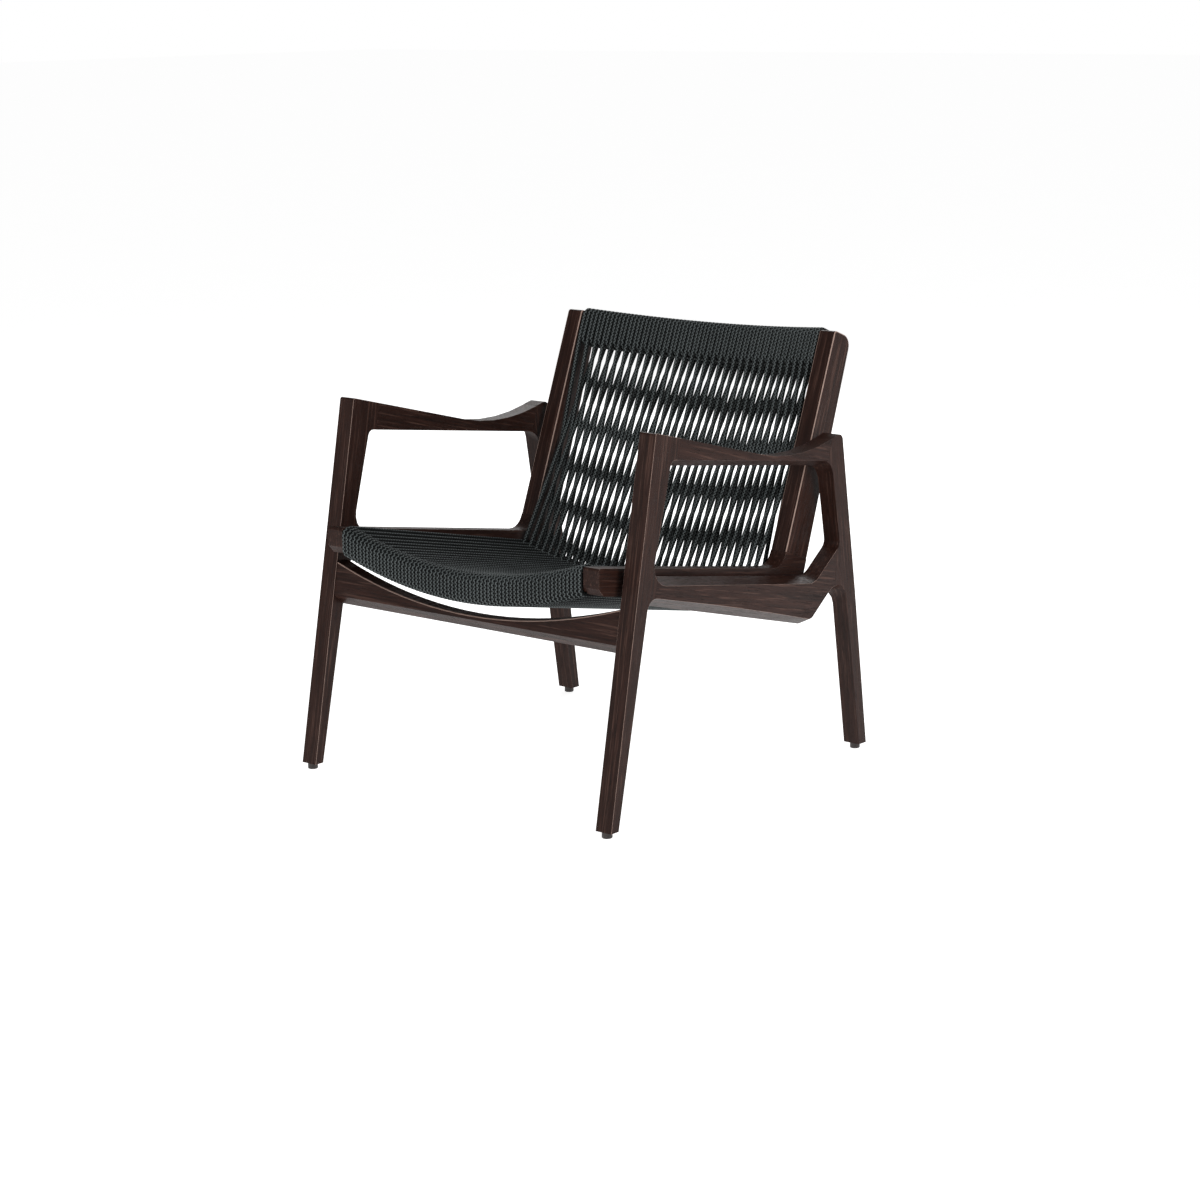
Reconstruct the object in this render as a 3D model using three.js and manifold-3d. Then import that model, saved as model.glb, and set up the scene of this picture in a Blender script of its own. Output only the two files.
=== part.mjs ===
// A low wooden armchair with a cord-wound seat and back.
//
// Two flat side frames carry the armrests. Each is four members joined with loose tenons:
// front leg, armrest, rear leg and side rail. A front rail and a rear rail tie the frames.
// The seat frame between them is two L-shaped sides joined by three bowed bars, and it is
// bolted to the side rails through spacers. Cord is wound over the three bars.
//
// Millimetres, +Z up, the front of the chair faces -Y. "left" is the sitter's left, +X.

import * as THREE from 'three';
import { mergeVertices } from 'three/addons/utils/BufferGeometryUtils.js';
import Module from 'manifold-3d';

const wasm = await Module();
wasm.setup();

// ---------------------------------------------------------------- driving dimensions

const DATUM_Y = -20.73;         // middle of the depth, measured from the outlines' own zero
const GAP = 0.3;                // clearance between neighbouring pieces

const FRAME_OUTER_X = 340.5;    // outer face of a side frame
const FRAME_T = 32;             // side frame thickness
const SEAT_OUTER_X = 293.5;     // outer face of the seat frame's side
const SEAT_T = 31.5;            // seat side thickness
const BAR_HALF = SEAT_OUTER_X - SEAT_T;      // half the length of the bowed bars
const FRAME_INNER_X = FRAME_OUTER_X - FRAME_T;

const LEG_FOOT_Z = 10;          // height of the leg ends above the floor
const BEVEL_UNDER_ARM = 11.5;   // how far the outer edge is raised under the arm
const BEVEL_RAIL_TOP = 11;      // and lowered on top of the side rail

const CORD = 7.6;               // cord diameter
const SHORT_OF_WINDING = 19.5;  // from where a span of cord meets the junction bar to its slab's end
const WINDING_CLEAR = 2;        // from the seat sides to the first and last turn of cord
const FRONT_DIP = 45;           // sag of the front bar at its middle
const JUNCTION_BOW = [-17.7, -34.5];   // shift of the junction bar at its middle, y and z
const TOP_BOW = 32;             // backward bow of the top bar at its middle
const BACK_LEAN = Math.atan(0.388);    // lean of the uprights from the vertical
const SEAT_SLOPE = Math.atan(0.1644);  // fall of the seat sides towards the back

const FRONT_BAR = { y: -337, z: 394, thick: 20, tall: 36.4 };
const TOP_BAR = { y: 281.8, z: 686.6, thick: 34, tall: 51 };
const JUNCTION_BAR = { y: 109.8, z: 300.7, long: 57.2, thick: 34, r: 13.9, tilt: -0.227 };
const TENON_DEPTH = 16;         // depth of the bar tenons in the seat sides

const BOLTS = [[-200, 364], [38, 328.5]];    // y and z of the bolts on each side
const BOLT_R = 3;
const GLIDE_R = 8.5;

// ---------------------------------------------------------------- materials

const WOOD = new THREE.MeshStandardMaterial({ color: 0x3d2a25, roughness: 0.5, metalness: 0 });
const HIDDEN_WOOD = new THREE.MeshStandardMaterial({ color: 0xa9835c, roughness: 0.7, metalness: 0 });
const WOUND = new THREE.MeshStandardMaterial({ color: 0x2c3232, roughness: 0.85, metalness: 0 });
const STEEL = new THREE.MeshStandardMaterial({ color: 0x8f9294, roughness: 0.35, metalness: 1 });
const BRASS = new THREE.MeshStandardMaterial({ color: 0xb08d4c, roughness: 0.35, metalness: 1 });
const NYLON = new THREE.MeshStandardMaterial({ color: 0x2b1f1b, roughness: 0.55, metalness: 0 });

// ---------------------------------------------------------------- shape helpers

// Corners are [y, z] or [y, z, radius]; a radius turns the corner into an arc.
function rounded(corners, steps = 5) {
  const points = [];
  corners.forEach(([y, z, r = 0], i) => {
    if (r === 0) {
      points.push([y, z]);
      return;
    }
    const here = new THREE.Vector2(y, z);
    const before = new THREE.Vector2(...corners.at(i - 1).slice(0, 2)).sub(here).normalize();
    const after = new THREE.Vector2(...corners[(i + 1) % corners.length].slice(0, 2)).sub(here).normalize();
    const half = Math.acos(before.dot(after)) / 2;
    const centre = before.clone().add(after).setLength(r / Math.sin(half)).add(here);
    const start = before.multiplyScalar(r / Math.tan(half)).add(here).sub(centre).angle();
    const end = after.multiplyScalar(r / Math.tan(half)).add(here).sub(centre).angle();
    let turn = end - start;
    if (turn > Math.PI) turn -= 2 * Math.PI;
    if (turn < -Math.PI) turn += 2 * Math.PI;
    for (let k = 0; k <= steps; k += 1) {
      const a = start + (turn * k) / steps;
      points.push([centre.x + r * Math.cos(a), centre.y + r * Math.sin(a)]);
    }
  });
  return points;
}

function circle(y, z, r, n = 24) {
  const points = [];
  for (let i = 0; i < n; i += 1) {
    const a = (2 * Math.PI * i) / n;
    points.push([y + r * Math.cos(a), z + r * Math.sin(a)]);
  }
  return points;
}

// A rectangle about a centre, its long side turned up from +Y by an angle.
function plank(y, z, angle, long, wide, r = 0) {
  const c = Math.cos(angle);
  const s = Math.sin(angle);
  const corners = [[-1, -1], [1, -1], [1, 1], [-1, 1]].map(([i, j]) => {
    const u = (i * long) / 2;
    const v = (j * wide) / 2;
    return [y + u * c - v * s, z + u * s + v * c, r];
  });
  return rounded(corners, 4);
}

function isClockwise(points) {
  return THREE.ShapeUtils.area(points.map(([y, z]) => new THREE.Vector2(y, z))) < 0;
}

// A solid through YZ outlines at rising x, each { x, outline, hole }, all alike in points.
function loft(stations) {
  const turned = isClockwise(stations[0].outline);
  const turnedHole = stations[0].hole && !isClockwise(stations[0].hole);
  const rings = stations.map(({ x, outline, hole }) => {
    const loops = [turned ? [...outline].reverse() : outline];
    if (hole) loops.push(turnedHole ? [...hole].reverse() : hole);
    return { x, loops };
  });
  const positions = [];
  for (const { x, loops } of rings) {
    for (const [y, z] of loops.flat()) positions.push(x, y - DATUM_Y, z);
  }
  const perRing = rings[0].loops.flat().length;
  const index = [];
  for (let s = 0; s + 1 < rings.length; s += 1) {
    let first = 0;
    for (const loop of rings[s].loops) {
      for (let i = 0; i < loop.length; i += 1) {
        const a = s * perRing + first + i;
        const b = s * perRing + first + ((i + 1) % loop.length);
        index.push(a, b, b + perRing, a, b + perRing, a + perRing);
      }
      first += loop.length;
    }
  }
  const cap = (ring) => {
    const loops = ring.loops.map((loop) => loop.map(([y, z]) => new THREE.Vector2(y, z)));
    return THREE.ShapeUtils.triangulateShape(loops[0], loops.slice(1));
  };
  for (const [a, b, c] of cap(rings[0])) index.push(c, b, a);
  const last = (rings.length - 1) * perRing;
  for (const [a, b, c] of cap(rings.at(-1))) index.push(last + a, last + b, last + c);
  const geometry = new THREE.BufferGeometry();
  geometry.setAttribute('position', new THREE.Float32BufferAttribute(positions, 3));
  geometry.setIndex(index);
  return geometry;
}

function prism(outline, x0, x1, hole) {
  return loft([{ x: x0, outline, hole }, { x: x1, outline, hole }]);
}

// ---------------------------------------------------------------- joining and cutting

function toSolid(geometry) {
  const bare = geometry.clone();
  bare.deleteAttribute('normal');
  bare.deleteAttribute('uv');
  const merged = mergeVertices(bare, 1e-4);
  return new wasm.Manifold(new wasm.Mesh({
    numProp: 3,
    vertProperties: new Float32Array(merged.attributes.position.array),
    triVerts: new Uint32Array(merged.index.array),
  }));
}

function toGeometry(solid) {
  const mesh = solid.getMesh();
  const geometry = new THREE.BufferGeometry();
  geometry.setAttribute('position', new THREE.BufferAttribute(mesh.vertProperties, 3));
  geometry.setIndex(new THREE.BufferAttribute(mesh.triVerts, 1));
  return geometry;
}

function cut(geometry, tools) {
  return toGeometry(tools.reduce((solid, tool) => solid.subtract(toSolid(tool)), toSolid(geometry)));
}

function join(geometries) {
  return toGeometry(geometries.map(toSolid).reduce((a, b) => a.add(b)));
}

function keep(geometry, region) {
  return toGeometry(toSolid(geometry).intersect(toSolid(region)));
}

const group = new THREE.Group();

function place(name, geometry, material) {
  const faceted = geometry.index ? geometry.toNonIndexed() : geometry;
  faceted.computeVertexNormals();
  const mesh = new THREE.Mesh(faceted, material);
  mesh.name = name;
  group.add(mesh);
}

function mirrored(geometry) {
  const copy = geometry.clone().scale(-1, 1, 1);
  const index = copy.index.array;
  for (let i = 0; i < index.length; i += 3) {
    const swap = index[i];
    index[i] = index[i + 1];
    index[i + 1] = swap;
  }
  return copy;
}

// Every side piece is drawn on the sitter's left and mirrored for the right.
function placePair(name, geometry, material) {
  place(`left_${name}`, geometry, material);
  place(`right_${name}`, mirrored(geometry), material);
}

// ---------------------------------------------------------------- joint hardware

// A loose tenon lies in a side member: y, z, tilt, length, width, and x from and to.
const TENONS = {
  arm_front: [-209, 585.5, -0.2, 44, 14],
  rail_front: [-270.6, 372, -0.2, 40, 16],
  arm_rear: [190, 531.5, -0.05, 38, 16],
  rail_rear: [207.5, 330, 0.5, 46, 20],
};
const TENON_X = [319.5, 329.5];
const UPRIGHT_TENON = [160.4, 354.3, Math.PI / 2 - BACK_LEAN, 50, 30];
const UPRIGHT_TENON_X = [273, 282.5];
const FRONT_RAIL_TENON = [-312.5, 316, Math.PI / 2 - 0.2, 34, 10];
const REAR_RAIL_TENON = [154, 268, Math.PI / 2, 10.5, 10];
const RAIL_TENON_X = [FRAME_INNER_X - 20, FRAME_INNER_X + 14];

function tenon([y, z, angle, long, wide], [x0, x1]) {
  return prism(plank(y, z, angle, long, wide), x0, x1);
}

function pocket([y, z, angle, long, wide], [x0, x1]) {
  return prism(plank(y, z, angle, long + 2 * GAP, wide + 2 * GAP), x0 - GAP, x1 + GAP);
}

function bore([y, z], r, x0, x1) {
  return prism(circle(y, z, r), x0, x1);
}

const BORE_R = BOLT_R + 0.4;
const INSERT_R = 5;
const INSERT_END_X = FRAME_INNER_X + 17;

// ---------------------------------------------------------------- side frames

// Outer face and inner face of the whole frame. Its undersides and the top of the side
// rail are bevelled, so the two outlines differ there.
const frameOuter = [
  [-384, LEG_FOOT_Z], [-366, LEG_FOOT_Z],
  [-286.3, 366.2, 20], [-110, 323], [22, 288], [137.5, 255.5, 14],
  [231, 326, 30], [279.5, LEG_FOOT_Z], [299.5, LEG_FOOT_Z],
  [264, 281], [224, 558.3, 11], [97, 526, 385], [-266.4, 619.3, 4],
];
const frameInner = [
  [-384, LEG_FOOT_Z], [-366, LEG_FOOT_Z],
  [-289.3, 353.1, 20], [-112, 308], [19, 274.5], [150, 241, 14],
  [236.6, 312.6, 30], [279.5, LEG_FOOT_Z], [299.5, LEG_FOOT_Z],
  [264, 281], [224, 558.3, 11], [97, 526, 385], [-266.4, 619.3, 4],
];
const windowOuter = [
  [-229, 573, 11], [194.3, 514.9, 32], [219, 367.9, 16], [146.7, 314.5, 35], [-281.2, 383.5, 32],
];
const windowInner = [
  [-232, 573 - BEVEL_UNDER_ARM, 11], [196.3, 514.9 - BEVEL_UNDER_ARM, 32], [219, 367.9, 16],
  [158, 313.5 + BEVEL_RAIL_TOP * 0.82, 35], [-278.2, 383.5 + BEVEL_RAIL_TOP, 32],
];

const sideFrame = loft([
  { x: FRAME_INNER_X, outline: rounded(frameInner), hole: rounded(windowInner) },
  { x: FRAME_OUTER_X, outline: rounded(frameOuter), hole: rounded(windowOuter) },
]);

// Joint lines. The front one runs just behind the front leg's fillets.
const frontJointY = (z) => -265 + (z - 390) * 0.28;
const JOINT_HALF = GAP / 2;
const low = -20;
const high = 660;
const regions = {
  front_leg: [
    [-500, low], [-280, low], [-280, 300], [frontJointY(340) - JOINT_HALF, 340],
    [frontJointY(high) - JOINT_HALF, high], [-500, high],
  ],
  armrest: [
    [frontJointY(450) + JOINT_HALF, 450], [181 - JOINT_HALF, 450], [181 - JOINT_HALF, 504],
    [210 - JOINT_HALF, 598], [210 - JOINT_HALF, high], [frontJointY(high) + JOINT_HALF, high],
  ],
  side_rail: [
    [frontJointY(340) + JOINT_HALF, 200], [205 - JOINT_HALF, 200], [205 - JOINT_HALF, 300],
    [211 - JOINT_HALF, 362], [200 - JOINT_HALF, 420],
    [frontJointY(420) + JOINT_HALF, 420], [frontJointY(340) + JOINT_HALF, 340],
  ],
  rear_leg: [
    [205 + JOINT_HALF, low], [500, low], [500, high],
    [210 + JOINT_HALF, high], [210 + JOINT_HALF, 598],
    [181 + JOINT_HALF, 504], [181 + JOINT_HALF, 450],
    [200 + JOINT_HALF, 420], [211 + JOINT_HALF, 362], [205 + JOINT_HALF, 300],
  ],
};
const member = (name) => keep(sideFrame, prism(regions[name], FRAME_INNER_X - 5, FRAME_OUTER_X + 5));

const glideY = [-375, 289.5];
const stemHole = (y) => new THREE.CylinderGeometry(2.7, 2.7, 19, 16)
  .rotateX(Math.PI / 2)
  .translate(FRAME_INNER_X + FRAME_T / 2, y - DATUM_Y, LEG_FOOT_Z + 7);
const railPocket = (spec) => pocket(spec, RAIL_TENON_X);

placePair('front_leg', cut(member('front_leg'), [
  pocket(TENONS.arm_front, TENON_X),
  pocket(TENONS.rail_front, TENON_X),
  railPocket(FRONT_RAIL_TENON),
  stemHole(glideY[0]),
]), WOOD);
placePair('armrest', cut(member('armrest'), [
  pocket(TENONS.arm_front, TENON_X),
  pocket(TENONS.arm_rear, TENON_X),
]), WOOD);
placePair('rear_leg', cut(member('rear_leg'), [
  pocket(TENONS.arm_rear, TENON_X),
  pocket(TENONS.rail_rear, TENON_X),
  stemHole(glideY[1]),
]), WOOD);
placePair('side_rail', cut(member('side_rail'), [
  pocket(TENONS.rail_front, TENON_X),
  pocket(TENONS.rail_rear, TENON_X),
  railPocket(REAR_RAIL_TENON),
  ...BOLTS.map((at) => bore(at, INSERT_R + GAP, FRAME_INNER_X - 2, INSERT_END_X + 1)),
]), WOOD);

for (const [name, spec] of Object.entries(TENONS)) {
  placePair(`${name}_tenon`, tenon(spec, TENON_X), HIDDEN_WOOD);
}

// ---------------------------------------------------------------- cross rails

// The front rail sits between the front legs. Its top edge is a shallow arc under the
// sagging seat, and its underside is bevelled up to the front face.
const legFrontY = (z) => -383 + (z - LEG_FOOT_Z) * 0.1914;
const legRearY = (z) => -290 - (350 - z) * 0.2235;
const FRONT_RAIL = { low: 275.5, edge: 293.5, mid: 299.7, end: 348, inset: 1 };
const CROSS_HALF = FRAME_INNER_X - GAP;

function frontRailSection(x) {
  const top = FRONT_RAIL.mid + (FRONT_RAIL.end - FRONT_RAIL.mid) * (x / CROSS_HALF) ** 2;
  return [
    [legRearY(FRONT_RAIL.low) - 0.5, FRONT_RAIL.low],
    [legRearY(top) - 0.5, top],
    [legFrontY(top) + FRONT_RAIL.inset, top],
    [legFrontY(FRONT_RAIL.edge) + FRONT_RAIL.inset, FRONT_RAIL.edge],
  ];
}

function stationsAlong(halfLength, count, section) {
  const stations = [];
  for (let i = 0; i <= count; i += 1) {
    const x = -halfLength + (2 * halfLength * i) / count;
    stations.push({ x, ...section(x) });
  }
  return stations;
}

const bothSides = ([x0, x1]) => [[x0, x1], [-x1, -x0]];

place('front_rail', cut(
  loft(stationsAlong(CROSS_HALF, 20, (x) => ({ outline: frontRailSection(x) }))),
  bothSides(RAIL_TENON_X).map((span) => pocket(FRONT_RAIL_TENON, span)),
), WOOD);
place('rear_rail', cut(
  prism(rounded([[146, 256, 3], [166, 256, 3], [166, 276, 3], [146, 276, 3]], 2), -CROSS_HALF, CROSS_HALF),
  bothSides(RAIL_TENON_X).map((span) => pocket(REAR_RAIL_TENON, span)),
), WOOD);
placePair('front_rail_tenon', tenon(FRONT_RAIL_TENON, RAIL_TENON_X), HIDDEN_WOOD);
placePair('rear_rail_tenon', tenon(REAR_RAIL_TENON, RAIL_TENON_X), HIDDEN_WOOD);

// ---------------------------------------------------------------- seat frame

const seatSideOutline = rounded([
  [-350.5, 384, 3], [-340, 371.4, 3], [169.5, 287.6, 14], [314, 702.5, 20], [269, 720, 6],
  [121.3, 339.1, 30], [-350, 416.6, 5],
]);
const seatSide = prism(seatSideOutline, BAR_HALF, SEAT_OUTER_X);

// The upright stands on the seat side just above the fillet, square to its own lean.
const up = [Math.sin(BACK_LEAN), Math.cos(BACK_LEAN)];
const across = [up[1], -up[0]];
const shoulder = [131.5, 365.5];

function shoulderRegion(sign) {
  const at = (u, v) => [
    shoulder[0] + across[0] * u + up[0] * v,
    shoulder[1] + across[1] * u + up[1] * v,
  ];
  const near = sign * JOINT_HALF;
  const far = sign * 900;
  return prism([at(-700, near), at(400, near), at(400, far), at(-700, far)], BAR_HALF - 5, SEAT_OUTER_X + 5);
}

const barTenon = (bar, tall, wide, angle) => [bar.y, bar.z, angle, tall, wide];
const FRONT_BAR_TENON = barTenon({ y: -336, z: 394 }, 22, 10, Math.PI / 2);
const JUNCTION_TENON = barTenon({ y: 108, z: 308.5 }, 40, 12, -SEAT_SLOPE);
const TOP_BAR_TENON = barTenon(TOP_BAR, 26, 10, Math.PI / 2 - BACK_LEAN);
const BAR_TENON_X = [BAR_HALF - GAP, BAR_HALF + TENON_DEPTH];
const barPocket = (spec) => pocket(spec, [BAR_HALF - 3, BAR_HALF + TENON_DEPTH]);

placePair('seat_side', cut(keep(seatSide, shoulderRegion(-1)), [
  pocket(UPRIGHT_TENON, UPRIGHT_TENON_X),
  barPocket(FRONT_BAR_TENON),
  barPocket(JUNCTION_TENON),
  ...BOLTS.map((at) => bore(at, BORE_R, BAR_HALF - 2, SEAT_OUTER_X + 2)),
  ...BOLTS.map((at) => bore(at, 6.8, BAR_HALF - 2, BAR_HALF + 5.5)),
]), WOOD);
placePair('back_upright', cut(keep(seatSide, shoulderRegion(1)), [
  pocket(UPRIGHT_TENON, UPRIGHT_TENON_X),
  barPocket(TOP_BAR_TENON),
]), WOOD);
placePair('upright_tenon', tenon(UPRIGHT_TENON, UPRIGHT_TENON_X), HIDDEN_WOOD);

// ---------------------------------------------------------------- bowed bars

const bow = (x) => 1 - (x / BAR_HALF) ** 2;
const frontCentre = (x) => [FRONT_BAR.y, FRONT_BAR.z - FRONT_DIP * bow(x)];
const junctionCentre = (x) => [
  JUNCTION_BAR.y + JUNCTION_BOW[0] * bow(x),
  JUNCTION_BAR.z + JUNCTION_BOW[1] * bow(x),
];
const topCentre = (x) => [
  TOP_BAR.y + across[0] * TOP_BOW * bow(x),
  TOP_BAR.z + across[1] * TOP_BOW * bow(x),
];

const frontSection = (x, grow = 0) => plank(
  ...frontCentre(x), Math.PI / 2, FRONT_BAR.tall + 2 * grow, FRONT_BAR.thick + 2 * grow, 7 + grow,
);
const topSection = (x, grow = 0) => plank(
  ...topCentre(x), Math.PI / 2 - BACK_LEAN, TOP_BAR.tall + 2 * grow, TOP_BAR.thick + 2 * grow, 7 + grow,
);
const junctionSection = (x, grow = 0) => plank(
  ...junctionCentre(x), JUNCTION_BAR.tilt, JUNCTION_BAR.long + 2 * grow, JUNCTION_BAR.thick + 2 * grow,
  JUNCTION_BAR.r + grow,
);

const BAR_STATIONS = 14;
const WRAP_HALF = BAR_HALF - WINDING_CLEAR;

// A bar is bowed between the seat sides and has a tenon at each end.
function bar(section, tenonSpec) {
  const body = loft(stationsAlong(BAR_HALF - GAP, BAR_STATIONS, (x) => ({ outline: section(x) })));
  const [x0, x1] = BAR_TENON_X;
  const ends = bothSides([x0 - 4, x1]).map((span) => tenon(tenonSpec, span));
  return join([body, ...ends]);
}

// The cord wound side by side round a bar, as one sleeve open at both ends.
function sleeve(section) {
  return loft(stationsAlong(WRAP_HALF, BAR_STATIONS, (x) => ({
    outline: section(x, GAP + CORD),
    hole: section(x, GAP),
  })));
}

place('front_bar', bar(frontSection, FRONT_BAR_TENON), WOOD);
place('junction_bar', bar(junctionSection, JUNCTION_TENON), WOOD);
place('top_bar', bar(topSection, TOP_BAR_TENON), WOOD);
place('front_winding', sleeve(frontSection), WOUND);
place('junction_winding', sleeve(junctionSection), WOUND);
place('top_winding', sleeve(topSection), WOUND);

// ---------------------------------------------------------------- cord spans

const MID = GAP + CORD / 2;     // bar surface to the middle of the cord

// Centre of a corner of the junction bar: n is 1 at the rear and t is 1 at the top.
function junctionCorner(x, n, t) {
  const [y, z] = junctionCentre(x);
  const u = n * (JUNCTION_BAR.long / 2 - JUNCTION_BAR.r);
  const v = t * (JUNCTION_BAR.thick / 2 - JUNCTION_BAR.r);
  const c = Math.cos(JUNCTION_BAR.tilt);
  const s = Math.sin(JUNCTION_BAR.tilt);
  return [y + u * c - v * s, z + u * s + v * c];
}

// The point where a straight run from a point touches the cord's turn round a corner.
function touch(from, centre, side) {
  const reach = JUNCTION_BAR.r + MID;
  const dy = centre[0] - from[0];
  const dz = centre[1] - from[1];
  const far = Math.hypot(dy, dz);
  const a = Math.atan2(dz, dy) + side * Math.asin(reach / far);
  const run = Math.sqrt(far * far - reach * reach);
  return [from[0] + run * Math.cos(a), from[1] + run * Math.sin(a)];
}

// A layer of cords as a slab, from the far bar to just short of the junction winding.
// Layers meet the bar at its upper front corner or at its lower rear corner.
function spanSection(from, x, { front, side, beyond = 0 }) {
  const corner = front ? junctionCorner(x, -1, 1) : junctionCorner(x, 1, -1);
  const to = touch(from, corner, side);
  const long = Math.hypot(to[0] - from[0], to[1] - from[1]);
  const u = [(to[0] - from[0]) / long, (to[1] - from[1]) / long];
  const end = long - SHORT_OF_WINDING - beyond;
  const t = CORD / 2;
  return [
    [from[0] - u[1] * t, from[1] + u[0] * t],
    [from[0] + u[1] * t, from[1] - u[0] * t],
    [from[0] + u[0] * end + u[1] * t, from[1] + u[1] * end - u[0] * t],
    [from[0] + u[0] * end - u[1] * t, from[1] + u[1] * end + u[0] * t],
  ];
}

function span(start, meeting) {
  const section = (x) => ({ outline: spanSection(start(x), x, meeting) });
  return loft(stationsAlong(WRAP_HALF, BAR_STATIONS, section));
}

const frontOffset = FRONT_BAR.thick / 2 + GAP + CORD + GAP;
const seatStart = (sign) => (x) => {
  const [y, z] = frontCentre(x);
  return [y + frontOffset, z + sign * (FRONT_BAR.tall / 2 + MID)];
};
const backStart = (sign) => (x) => {
  const [y, z] = topCentre(x);
  const n = sign * (TOP_BAR.thick / 2 + MID);
  const t = -(TOP_BAR.tall / 2 + GAP + CORD + GAP);
  return [y + across[0] * n + up[0] * t, z + across[1] * n + up[1] * t];
};

place('seat_cords_upper', span(seatStart(1), { front: true, side: 1 }), WOUND);
place('seat_cords_lower', span(seatStart(-1), { front: false, side: -1, beyond: 29 }), WOUND);
// The two back layers cross: what leaves the top bar behind reaches the junction bar in
// front, and the other way round.
place('back_cords', join([
  span(backStart(1), { front: true, side: -1 }),
  span(backStart(-1), { front: false, side: 1, beyond: 6 }),
]), WOUND);

// ---------------------------------------------------------------- bolts and glides

// Profiles are [radius, height] turned about the vertical, then laid along +X.
function turnedAlongX(profile, x, [y, z]) {
  const points = profile.map(([r, h]) => new THREE.Vector2(r, h));
  const lathe = new THREE.LatheGeometry(points, 24);
  lathe.rotateZ(-Math.PI / 2).translate(x, y - DATUM_Y, z);
  return toGeometry(toSolid(lathe));
}

const boltLength = INSERT_END_X - 3 - (BAR_HALF + 1);
const boltProfile = [
  [0, 2.2], [2.5, 2.2], [2.5, 0], [6.2, 0], [6.2, 4],
  [BOLT_R, 4], [BOLT_R, boltLength], [0, boltLength],
];
const spacerLength = FRAME_INNER_X - SEAT_OUTER_X - 2 * GAP;

BOLTS.forEach((at, i) => {
  const end = ['front', 'rear'][i];
  placePair(`${end}_bolt`, turnedAlongX(boltProfile, BAR_HALF + 1, at), STEEL);
  placePair(`${end}_spacer`, prism(
    circle(...at, 9), SEAT_OUTER_X + GAP, SEAT_OUTER_X + GAP + spacerLength, circle(...at, BORE_R),
  ), STEEL);
  placePair(`${end}_insert`, prism(
    circle(...at, INSERT_R), FRAME_INNER_X + GAP, INSERT_END_X, circle(...at, BORE_R),
  ), BRASS);
});

const glideTop = LEG_FOOT_Z - GAP;
const glideProfile = [
  [0, 0], [GLIDE_R - 1, 0], [GLIDE_R, 1.2], [GLIDE_R, glideTop],
  [2.4, glideTop], [2.4, 25], [0, 25],
];

glideY.forEach((y, i) => {
  const lathe = new THREE.LatheGeometry(glideProfile.map(([r, h]) => new THREE.Vector2(r, h)), 24);
  lathe.rotateX(Math.PI / 2).translate(FRAME_INNER_X + FRAME_T / 2, y - DATUM_Y, 0);
  placePair(`${['front', 'rear'][i]}_glide`, toGeometry(toSolid(lathe)), NYLON);
});

export default group;
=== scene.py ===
# A low wooden armchair: stained side frames, and a seat and back wound from one braided cord.
#
# Sizes in the constants are millimetres measured from the side outlines' own zero; at()
# turns them into the metres of the loaded frame.

import math
import random

import bmesh
import bpy
from mathutils import Matrix, Vector


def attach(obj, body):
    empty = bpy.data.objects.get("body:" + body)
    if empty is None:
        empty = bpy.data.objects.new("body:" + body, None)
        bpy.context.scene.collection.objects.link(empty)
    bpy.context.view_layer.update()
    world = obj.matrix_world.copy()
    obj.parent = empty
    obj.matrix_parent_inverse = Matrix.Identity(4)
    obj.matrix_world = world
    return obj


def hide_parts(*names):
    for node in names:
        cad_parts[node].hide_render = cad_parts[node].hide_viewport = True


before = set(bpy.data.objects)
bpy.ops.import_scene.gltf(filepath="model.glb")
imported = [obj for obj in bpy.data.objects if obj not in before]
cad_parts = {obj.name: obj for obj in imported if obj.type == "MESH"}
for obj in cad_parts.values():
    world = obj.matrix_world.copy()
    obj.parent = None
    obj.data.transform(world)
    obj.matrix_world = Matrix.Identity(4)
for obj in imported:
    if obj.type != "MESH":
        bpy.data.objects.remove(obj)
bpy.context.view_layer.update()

bl_info = {
    "name": "Cord-wound armchair",
    "version": (1, 0, 0),
    "blender": (4, 5, 0),
    "location": "View3D > Sidebar > Armchair",
    "description": "Builds a wooden lounge armchair with a wound cord seat and back",
    "category": "Add Mesh",
}

# ---------------------------------------------------------------- sizes

MM = 0.001
DATUM_Y = -20.73                 # middle of the depth in the outlines' own measure

FRAME_FACES = (308.5, 340.5)     # inner and outer face of a side frame
SEAT_FACES = (262.0, 293.5)      # and of the seat frame's side
BAR_HALF = 262.0                 # half the length of the bowed bars
RAIL_HALF = 308.2                # half the length of the cross rails
FRAMES_FROM = 300.0              # both side frames lie farther out than this
RAIL_POCKETS = (280.0, 299.0)    # where the tenon pockets in the rails have their floors

# Centres of the bars at their ends as (y, z), half their sections and their bows.
BACK_LEAN = math.atan(0.388)
FRONT_BAR = (-337.0, 394.0)
FRONT_DIP = 45.0
FRONT_HALF = (10.0, 18.2)
FOLD_BAR = (109.8, 300.7)
FOLD_BOW = (-17.7, -34.5)
FOLD_HALF = (28.6, 17.0)
FOLD_CORNER = 13.9
FOLD_TILT = 0.227
TOP_BAR = (281.8, 686.6)
TOP_BOW = 32.0
TOP_HALF = (17.0, 25.5)
BAR_CORNER = 7.0

CORD_GAP = 0.3                   # between a bar and the cord on it
ARC_STEP = math.radians(15)      # longest turn of the cord between two points
RUN_LENGTHS = 8                  # parts of a straight run of cord
SAME_POINT = 0.4                 # points of the route nearer than this are one
SWAY_SEED = 11
BRAID_LAY = 0.0062               # metres along the cord from one crossing to the next
BRAID_STRANDS = 4

# Broken lines of the joints in the side plane, and the foot of the uprights.
JOINT_LINES = (
    [(-318.2, 200), (-189.4, 660)],
    [(181, 440), (181, 504), (210, 598), (210, 660)],
    [(205, -20), (205, 300), (211, 362), (200, 420)],
)
JOINT_REACH = 0.6
SHOULDER = (131.5, 365.5)
SHOULDER_REACH = 0.5

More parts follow.
